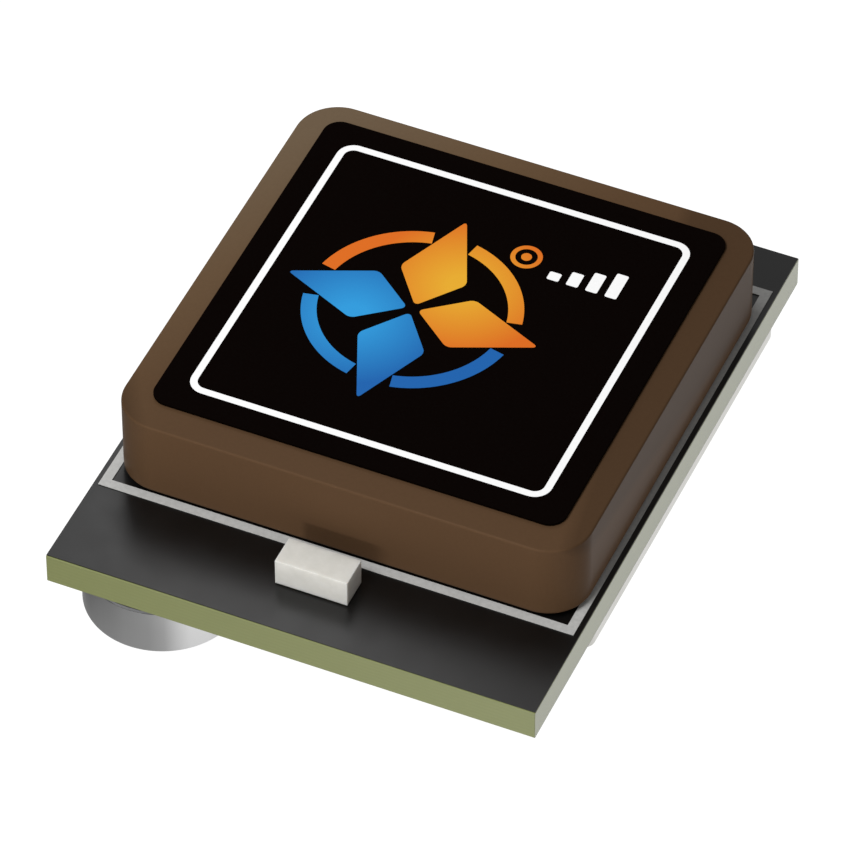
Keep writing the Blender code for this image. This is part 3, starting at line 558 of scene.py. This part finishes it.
TARGET_PLACE = Vector((0.0020, 0.0061, rose_place.z))
TARGET_RINGS = ((0.00072, 0.00050), (0.00024, 0.0))
for outer, inner in TARGET_RINGS:
    bpy.ops.mesh.primitive_circle_add(vertices=48, radius=outer, fill_type="NGON",
                                      location=TARGET_PLACE)
    target = open_piece("target")
    if inner:
        bpy.ops.mesh.select_all(action="SELECT")
        bpy.ops.mesh.inset(thickness=outer - inner)
        bpy.ops.mesh.delete(type="ONLY_FACE")
    raise_print(0.0)
    printed["orange"].append(close_piece(target, inks["orange"]))
for name, parts in printed.items():
    for part in parts:
        part.select_set(True)
    bpy.context.view_layer.objects.active = parts[0]
    bpy.ops.object.join()
    print_piece = close_piece(bpy.context.object, inks[name])
    print_piece.name = f"label_print_{name}"
    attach(print_piece, "root")

# Indicator lamp: a small block of milky diffusing resin, moulded round its chip and sawn from a
# strip, so its edges are sharp. Smooth and pale, and soldered to its two lands.
LAMP_EDGE = 0.00001
lamp_low, lamp_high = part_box("indicator_lamp")
milky_resin, tree, shader, place = start_material(
    "milky_diffusing_resin", {"IOR": 1.5, "Specular IOR Level": 0.1,
                              "Subsurface Weight": 0.9, "Subsurface Scale": 0.0004,
                              "Subsurface Radius": (1.0, 0.95, 0.9)})
cloud = add_node(tree, "ShaderNodeTexNoise", {"Vector": place, "Scale": 1800.0, "Detail": 4.0})
colour = add_node(tree, "ShaderNodeValToRGB", {"Fac": cloud},
                  stops=[(0.3, "d2d0c9"), (0.7, "dcdad4")])
satin = add_node(tree, "ShaderNodeMapRange", {"Value": cloud, "To Min": 0.42, "To Max": 0.55})
feed(tree, shader, colour=colour, roughness=satin)
bpy.ops.mesh.primitive_cube_add(size=1.0, location=(lamp_low + lamp_high) / 2.0,
                                scale=lamp_high - lamp_low)
lamp = open_piece("indicator_lamp_body")
bpy.ops.mesh.select_all(action="SELECT")
bpy.ops.mesh.bevel(offset=LAMP_EDGE, segments=3)
close_piece(lamp, milky_resin)
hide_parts("indicator_lamp")
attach(lamp, "root")

# Lands and wire pads: copper plated with nickel and a flash of gold, left free of mask for the
# lamp and the four wires. Bright and slightly uneven.
gold, tree, shader, place = start_material("immersion_gold", {"Metallic": 1.0})
plating = add_node(tree, "ShaderNodeTexNoise", {"Vector": place, "Scale": 4000.0, "Detail": 4.0})
colour = add_node(tree, "ShaderNodeValToRGB", {"Fac": plating},
                  stops=[(0.3, "d9b25e"), (0.7, "ecc878")])
blur = add_node(tree, "ShaderNodeMapRange", {"Value": plating, "To Min": 0.2, "To Max": 0.42})
dimple = add_node(tree, "ShaderNodeBump", {"Height": plating, "Strength": 0.3, "Distance": 0.000004})
feed(tree, shader, colour=colour, roughness=blur, normal=dimple)
dress(gold, "lamp_land_left", "lamp_land_right",
      "wire_pad_1", "wire_pad_2", "wire_pad_3", "wire_pad_4")

# Receiver chips: black epoxy mould compound, pressed round the silicon, soldered down in the can.
# Matt, with the fine sparkle of its silica filler.
mould, tree, shader, place = start_material("epoxy_mould_compound", {"IOR": 1.5})
filler = add_node(tree, "ShaderNodeTexNoise", {"Vector": place, "Scale": 14000.0, "Detail": 3.0})
colour = add_node(tree, "ShaderNodeValToRGB", {"Fac": filler},
                  stops=[(0.35, "232324"), (0.75, "343435")])
matt = add_node(tree, "ShaderNodeMapRange", {"Value": filler, "To Min": 0.5, "To Max": 0.7})
grain = add_node(tree, "ShaderNodeBump", {"Height": filler, "Strength": 0.3, "Distance": 0.000004})
feed(tree, shader, colour=colour, roughness=matt, normal=grain)
dress(mould, "receiver_chip", "flash_memory", "voltage_regulator", "radio_amplifier")

# Filters and the bases of the clock parts: white alumina, pressed and fired round plated hollows,
# and soldered down in the can. Slightly grainy.
alumina, tree, shader, place = start_material("fired_alumina", {"IOR": 1.6})
grain = add_node(tree, "ShaderNodeTexNoise", {"Vector": place, "Scale": 9000.0, "Detail": 4.0})
colour = add_node(tree, "ShaderNodeValToRGB", {"Fac": grain},
                  stops=[(0.3, "c2bcae"), (0.7, "d2ccc0")])
matt = add_node(tree, "ShaderNodeMapRange", {"Value": grain, "To Min": 0.4, "To Max": 0.6})
feed(tree, shader, colour=colour, roughness=matt)
dress(alumina, "antenna_filter", "second_filter", "oscillator_base", "clock_crystal_base")

# Chip capacitors, inductors and resistors: a ceramic bar, with tin over a quarter of its length
# at each end. One material for each, because the bands are placed by the part's own middle.
TIN_SHARE = 0.25
bodies = {"capacitor": ("8a6a48", "9c7a55"), "inductor": ("a9b0a8", "bcc3bb"),
          "resistor": ("1d1d1f", "2c2c2e")}
for name in sorted(nodes):
    kind = name.split("_")[1]
    if kind not in bodies:
        continue
    low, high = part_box(name)
    reach = high - low
    axis = 0 if reach.x > reach.y else 1
    part, tree, shader, place = start_material(f"{name}_chip", {"IOR": 1.5})
    scale = [0.0, 0.0, 0.0]
    scale[axis] = 2.0 / reach[axis]
    centre = (low + high) / 2.0
    centred = add_node(tree, "ShaderNodeMapping",
                       {"Vector": place, "Scale": scale,
                        "Location": (-centre.x * scale[0], -centre.y * scale[1], 0.0)})
    ends = add_node(tree, "ShaderNodeVectorMath", {0: centred}, operation="ABSOLUTE")
    along = add_node(tree, "ShaderNodeVectorMath", {0: ends, 1: (1.0, 1.0, 0.0)},
                     operation="DOT_PRODUCT").node.outputs["Value"]
    tinned = add_node(tree, "ShaderNodeMath", {0: along, 1: 1.0 - 2.0 * TIN_SHARE},
                      operation="GREATER_THAN")
    grain = add_node(tree, "ShaderNodeTexNoise", {"Vector": place, "Scale": 9000.0, "Detail": 3.0})
    body = add_node(tree, "ShaderNodeValToRGB", {"Fac": grain},
                    stops=[(0.3, bodies[kind][0]), (0.7, bodies[kind][1])])
    tin = add_node(tree, "ShaderNodeValToRGB", {"Fac": grain},
                   stops=[(0.3, "a8abae"), (0.7, "c6c9cc")])
    colour = add_node(tree, "ShaderNodeMix", {0: tinned, 6: body, 7: tin},
                      data_type="RGBA").node.outputs[2]
    tree.links.new(tinned, shader.inputs["Metallic"])
    matt = add_node(tree, "ShaderNodeMapRange", {"Value": grain, "To Min": 0.3, "To Max": 0.5})
    feed(tree, shader, colour=colour, roughness=matt)
    dress(part, name)

# Screening can: nickel silver sheet, drawn to shape in one stroke, with round vents for the oven.
# Its faces keep the faint lines of the rolling mill, and its corners shine where the die rubbed.
CAN_SHEET = 0.0002
CAN_CORNER = 0.0005
CAN_FOLD = 0.0003
VENT_RADIUS = 0.00045
VENT_PITCH = 0.0040
VENT_ROW = 0.0052
nickel_silver, tree, shader, place = start_material("nickel_silver_sheet", {"Metallic": 1.0})
drawn = add_node(tree, "ShaderNodeMapping", {"Vector": place, "Scale": (14000.0, 500.0, 3000.0)})
rolling = add_node(tree, "ShaderNodeTexNoise", {"Vector": drawn, "Scale": 1.0, "Detail": 3.0})
tarnish = add_node(tree, "ShaderNodeTexNoise", {"Vector": place, "Scale": 300.0, "Detail": 3.0})
shade = add_node(tree, "ShaderNodeMath", {0: rolling, 1: tarnish}, operation="MULTIPLY")
colour = add_node(tree, "ShaderNodeValToRGB", {"Fac": shade},
                  stops=[(0.1, "b0afa9"), (0.45, "bfbeba")])
blur = add_node(tree, "ShaderNodeMapRange", {"Value": rolling, "To Min": 0.26, "To Max": 0.42})
lines = add_node(tree, "ShaderNodeBump", {"Height": rolling, "Strength": 0.25, "Distance": 0.000003})
feed(tree, shader, colour=colour, roughness=blur, normal=lines)

bpy.ops.mesh.primitive_cube_add(size=1.0, location=(can_low + can_high) / 2.0,
                                scale=can_high - can_low)
can = open_piece("shield_can_drawn")
choose("faces", lambda face, mid: face.normal.z > 0.9)
bpy.ops.mesh.delete(type="FACE")
choose("edges", upright)
bpy.ops.mesh.bevel(offset=CAN_CORNER, segments=14)
choose("edges", lambda edge, mid: mid.z < can_low.z + CAN_FOLD / 2.0)
bpy.ops.mesh.bevel(offset=CAN_FOLD, segments=6)
bpy.ops.object.mode_set(mode="OBJECT")
wall = can.modifiers.new("wall", "SOLIDIFY")
wall.thickness = CAN_SHEET
wall.offset = -1.0
wall.use_even_offset = True
bpy.ops.object.modifier_apply(modifier="wall")
for row in (-1.0, 1.0):
    for column in range(5):
        spot = ((column - 2.0) * VENT_PITCH, (can_low.y + can_high.y) / 2.0 + row * VENT_ROW)
        bore(can, VENT_RADIUS, can_low.z - CAN_SHEET, can_low.z + 2.0 * CAN_SHEET, spot, sides=32)
close_piece(can, nickel_silver, smooth=30.0)
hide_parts("shield_can")
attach(can, "root")
dress(nickel_silver, "oscillator_lid", "clock_crystal_lid")

# Solder at the can's rim: short runs of tin laid with an iron, three at each side and two at the
# back. They wet the sheet and the board, so their faces are hollow.
RUN_LENGTH = 0.0022
RUN_WIDTH = 0.00042
RUN_HEIGHT = 0.00055
SIDE_RUNS = (-0.0040, 0.0033, 0.0106)
BACK_RUNS = (-0.0055, 0.0055)
runs = []
for side in (-1.0, 1.0):
    for back in SIDE_RUNS:
        edge_x = can_high.x if side > 0.0 else can_low.x
        runs.append(((edge_x + side * RUN_WIDTH / 2.0, back), (RUN_WIDTH, RUN_LENGTH), (side, 0.0)))
for across in BACK_RUNS:
    runs.append(((across, can_high.y + RUN_WIDTH / 2.0), (RUN_LENGTH, RUN_WIDTH), (0.0, 1.0)))
beads = []
for (across, back), (width, length), (out_x, out_y) in runs:
    spot = Vector((across, back, under - RUN_HEIGHT / 2.0))
    bpy.ops.mesh.primitive_cube_add(size=1.0, location=spot, scale=(width, length, RUN_HEIGHT))
    bead = open_piece("bead")
    outward = Vector((out_x, out_y, 0.0))
    choose("edges", lambda edge, mid: (mid - spot).dot(outward) > 0.4 * RUN_WIDTH
           and mid.z < spot.z - 0.4 * RUN_HEIGHT)
    bpy.ops.mesh.bevel(offset=0.92 * RUN_WIDTH, segments=8, profile=0.22)
    close_piece(bead, solder, smooth=50.0)
    beads.append(bead)
for bead in beads:
    bead.select_set(True)
bpy.context.view_layer.objects.active = beads[0]
bpy.ops.object.join()
can_solder = bpy.context.object
can_solder.name = "shield_can_solder"
bpy.ops.object.select_all(action="DESELECT")
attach(can_solder, "root")

# Coin cell: a can of nickel-plated steel drawn from strip, its mouth crimped over a nylon gasket
# that holds the cap. The plating is satin, with the upright draw lines of the die. The grey bands
# round its wall are a painted reflection matched to the photograph, and its flat bottom has one tone.
CELL_EDGE = 0.00003
CELL_MOUTH = 0.00045
CELL_MOUTH_DEPTH = 0.00022
CELL_MOUTH_EDGE = 0.00001
CELL_BOTTOM_TONE = 0.24
cell_low, cell_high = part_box("cell_can")
cell_place = (cell_low + cell_high) / 2.0
cell_radius = (cell_high.x - cell_low.x) / 2.0
plated_steel, tree, shader, place = start_material("nickel_plated_steel", {"Metallic": 1.0})
centred = add_node(tree, "ShaderNodeMapping",
                   {"Vector": place, "Location": (-cell_place.x, -cell_place.y, 0.0)})
upright_lines = add_node(tree, "ShaderNodeMapping",
                         {"Vector": centred, "Scale": (9000.0, 9000.0, 200.0)})
draw = add_node(tree, "ShaderNodeTexNoise", {"Vector": upright_lines, "Scale": 1.0, "Detail": 2.0})
stain = add_node(tree, "ShaderNodeTexNoise", {"Vector": place, "Scale": 900.0, "Detail": 4.0})
round_it = add_node(tree, "ShaderNodeTexGradient", {"Vector": centred}, gradient_type="RADIAL")
height = add_node(tree, "ShaderNodeSeparateXYZ", {"Vector": place}).node.outputs["Z"]
wall = add_node(tree, "ShaderNodeMapRange",
                {"Value": height, "From Min": cell_low.z, "From Max": cell_low.z + CELL_EDGE})
turned = add_node(tree, "ShaderNodeMix", {0: wall, 2: CELL_BOTTOM_TONE, 3: round_it})
# Painted reflection: light and dark grey bands set by the angle round the wall.
painted_reflection_bands = add_node(tree, "ShaderNodeValToRGB", {"Fac": turned},
                 stops=[(0.0, "6c6c6c"), (0.133, "727272"), (0.175, "8e8e8e"), (0.24, "a0a0a0"),
                        (0.29, "a3a3a3"), (0.32, "b2b2b2"), (0.345, "d3d3d3"), (0.37, "e8e8e8"),
                        (0.41, "f1f1f1"), (0.5, "d4d4d4"), (0.6, "b0b0b0"), (0.75, "dcdcdc"),
                        (0.88, "a4a4a4"), (1.0, "6c6c6c")])
worn = add_node(tree, "ShaderNodeMapRange", {"Value": stain, "To Min": 0.97, "To Max": 1.03})
colour = add_node(tree, "ShaderNodeVectorMath", {0: painted_reflection_bands, 3: worn}, operation="SCALE")
blur = add_node(tree, "ShaderNodeMapRange", {"Value": draw, "To Min": 0.28, "To Max": 0.4})
lines = add_node(tree, "ShaderNodeBump", {"Height": draw, "Strength": 0.2, "Distance": 0.000002})
feed(tree, shader, colour=colour, roughness=blur, normal=lines)

bpy.ops.mesh.primitive_cylinder_add(vertices=128, radius=cell_radius,
                                    depth=cell_high.z - cell_low.z, location=cell_place)
cell = open_piece("cell_can_crimped")
choose("faces", lambda face, mid: face.normal.z > 0.9)
bpy.ops.mesh.inset(thickness=CELL_MOUTH)
bpy.ops.mesh.extrude_region_move(TRANSFORM_OT_translate={"value": (0.0, 0.0, -CELL_MOUTH_DEPTH)})
choose("edges", lambda edge, mid: not upright(edge, mid) and mid.z < cell_place.z)
bpy.ops.mesh.bevel(offset=CELL_EDGE, segments=6)
choose("edges", lambda edge, mid: not upright(edge, mid) and mid.z > cell_place.z
       and (mid - cell_place).xy.length > 0.97 * cell_radius)
bpy.ops.mesh.bevel(offset=CELL_MOUTH_EDGE, segments=2)
close_piece(cell, plated_steel)
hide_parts("cell_can")
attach(cell, "root")
dress(plated_steel, "cell_cap", "cell_tab_positive", "cell_tab_negative")

# Gasket and washer: grey nylon rings. The gasket is moulded and squeezed in the crimp, and the
# washer keeps the crimped rim off the board. Both look waxy.
nylon, tree, shader, place = start_material("moulded_nylon", {"IOR": 1.53})
flow = add_node(tree, "ShaderNodeTexNoise", {"Vector": place, "Scale": 2500.0, "Detail": 3.0})
colour = add_node(tree, "ShaderNodeValToRGB", {"Fac": flow}, stops=[(0.3, "666667"), (0.7, "68686a")])
wax = add_node(tree, "ShaderNodeMapRange", {"Value": flow, "To Min": 0.4, "To Max": 0.55})
feed(tree, shader, colour=colour, roughness=wax)
dress(nylon, "cell_gasket", "cell_washer")

# Studio: a white paper floor, even light from all round, and three soft lamps: one high at the
# front left, one low in front and a small one over the back left. The floor's share of glow times
# its strength makes it just white to the camera.
FLOOR_SIZE = 4.0
FLOOR_DROP = 0.00001
FLOOR_SHARE = 0.9
FLOOR_GLOW = 1.12
SKY_LIGHT = 0.28
SKY_MIRRORED = 0.5
paper, tree, shader, place = start_material(
    "white_paper_floor", {"Roughness": 0.9, "Specular IOR Level": 0.0})
shader.inputs["Base Color"].default_value = srgb("f8f8f8")
rays = add_node(tree, "ShaderNodeLightPath").node
seen = add_node(tree, "ShaderNodeMath",
                {0: rays.outputs["Is Camera Ray"], 1: rays.outputs["Is Glossy Ray"]},
                operation="MAXIMUM")
seen = add_node(tree, "ShaderNodeMath", {0: seen, 1: rays.outputs["Is Transmission Ray"]},
                operation="MAXIMUM")
share = add_node(tree, "ShaderNodeMath", {0: seen, 1: FLOOR_SHARE}, operation="MULTIPLY")
side = add_node(tree, "ShaderNodeSeparateXYZ", {"Vector": place})
# What gloss mirrors of the floor is graded, from dim at the left to bright at the right.
mirrored = add_node(tree, "ShaderNodeMapRange",
                    {"Value": side, "From Min": -0.018, "From Max": 0.014, "To Min": 0.25, "To Max": 1.4})
level = add_node(tree, "ShaderNodeMix",
                 {0: rays.outputs["Is Glossy Ray"], 2: FLOOR_GLOW, 3: mirrored})
white = add_node(tree, "ShaderNodeEmission", {"Color": (1.0, 1.0, 1.0, 1.0), "Strength": level})
floor_look = add_node(tree, "ShaderNodeMixShader", {0: share, 1: shader.outputs[0], 2: white})
tree.links.new(floor_look, tree.nodes["Material Output"].inputs["Surface"])
paper.cycles.emission_sampling = "NONE"
bpy.ops.mesh.primitive_plane_add(size=FLOOR_SIZE, location=(0.0, 0.0, -FLOOR_DROP))
floor = bpy.context.object
floor.name = "studio_floor"
floor.data.materials.append(paper)

sky = bpy.data.worlds.new("studio_sky")
bpy.context.scene.world = sky
sky.use_nodes = True
tree = sky.node_tree
rays = add_node(tree, "ShaderNodeLightPath").node
seen = add_node(tree, "ShaderNodeMath",
                {0: rays.outputs["Is Camera Ray"], 1: rays.outputs["Is Glossy Ray"]},
                operation="MAXIMUM")
seen = add_node(tree, "ShaderNodeMath", {0: seen, 1: rays.outputs["Is Transmission Ray"]},
                operation="MAXIMUM")
way = add_node(tree, "ShaderNodeTexCoord").node.outputs["Generated"]
side = add_node(tree, "ShaderNodeSeparateXYZ", {"Vector": way})
light = add_node(tree, "ShaderNodeMapRange",
                 {"Value": side, "From Min": -1.0, "To Min": 1.2 * SKY_LIGHT, "To Max": 0.75 * SKY_LIGHT})
level = add_node(tree, "ShaderNodeMix", {0: seen, 2: light, 3: 1.0})
level = add_node(tree, "ShaderNodeMix",
                 {0: rays.outputs["Is Glossy Ray"], 2: level, 3: SKY_MIRRORED})
tree.links.new(level, tree.nodes["Background"].inputs["Strength"])
tree.nodes["Background"].inputs["Color"].default_value = (1.0, 1.0, 1.0, 1.0)
sky.cycles.sampling_method = "NONE"

aim = Vector((0.0, 0.0, 0.006))
for name, spot, width, height, energy in (
        ("soft_lamp", Vector((-0.055, -0.150, 0.262)), 0.120, 0.120, 0.65),
        ("low_lamp", Vector((-0.035, -0.238, 0.020)), 0.080, 0.030, 0.135),
        ("window_box", Vector((-0.0212, 0.0248, 0.0595)), 0.019, 0.045, 0.0055)):
    light = bpy.data.lights.new(name, "AREA")
    light.shape = "ELLIPSE"
    light.size = width
    light.size_y = height
    light.energy = energy
    holder = bpy.data.objects.new(name, light)
    holder.location = spot
    holder.rotation_euler = (aim - spot).to_track_quat("-Z", "Y").to_euler()
    holder.visible_camera = False
    holder.visible_glossy = name != "low_lamp"
    bpy.context.scene.collection.objects.link(holder)

# Camera: a long lens, a third of a metre off, above the front right corner. The perspective of
# the board's edges gives its place and its turn.
CAMERA_PLACE = Vector((0.09310, -0.21141, 0.23781))
CAMERA_RIGHT = Vector((0.91542, 0.40251, -0.00190))
CAMERA_AHEAD = Vector((-0.28362, 0.64166, -0.71262))
lens = bpy.data.cameras.new("camera")
lens.sensor_width = 36.0
lens.lens = 317.42
lens.clip_start = 0.01
lens.clip_end = 10.0
camera = bpy.data.objects.new("camera", lens)
back = -CAMERA_AHEAD.normalized()
right = (CAMERA_RIGHT - back * CAMERA_RIGHT.dot(back)).normalized()
up = back.cross(right)
turned = Matrix((right, up, back)).transposed().to_4x4()
camera.matrix_world = Matrix.Translation(CAMERA_PLACE) @ turned
bpy.context.scene.collection.objects.link(camera)
bpy.context.scene.camera = camera
bpy.context.scene.view_settings.view_transform = "Standard"
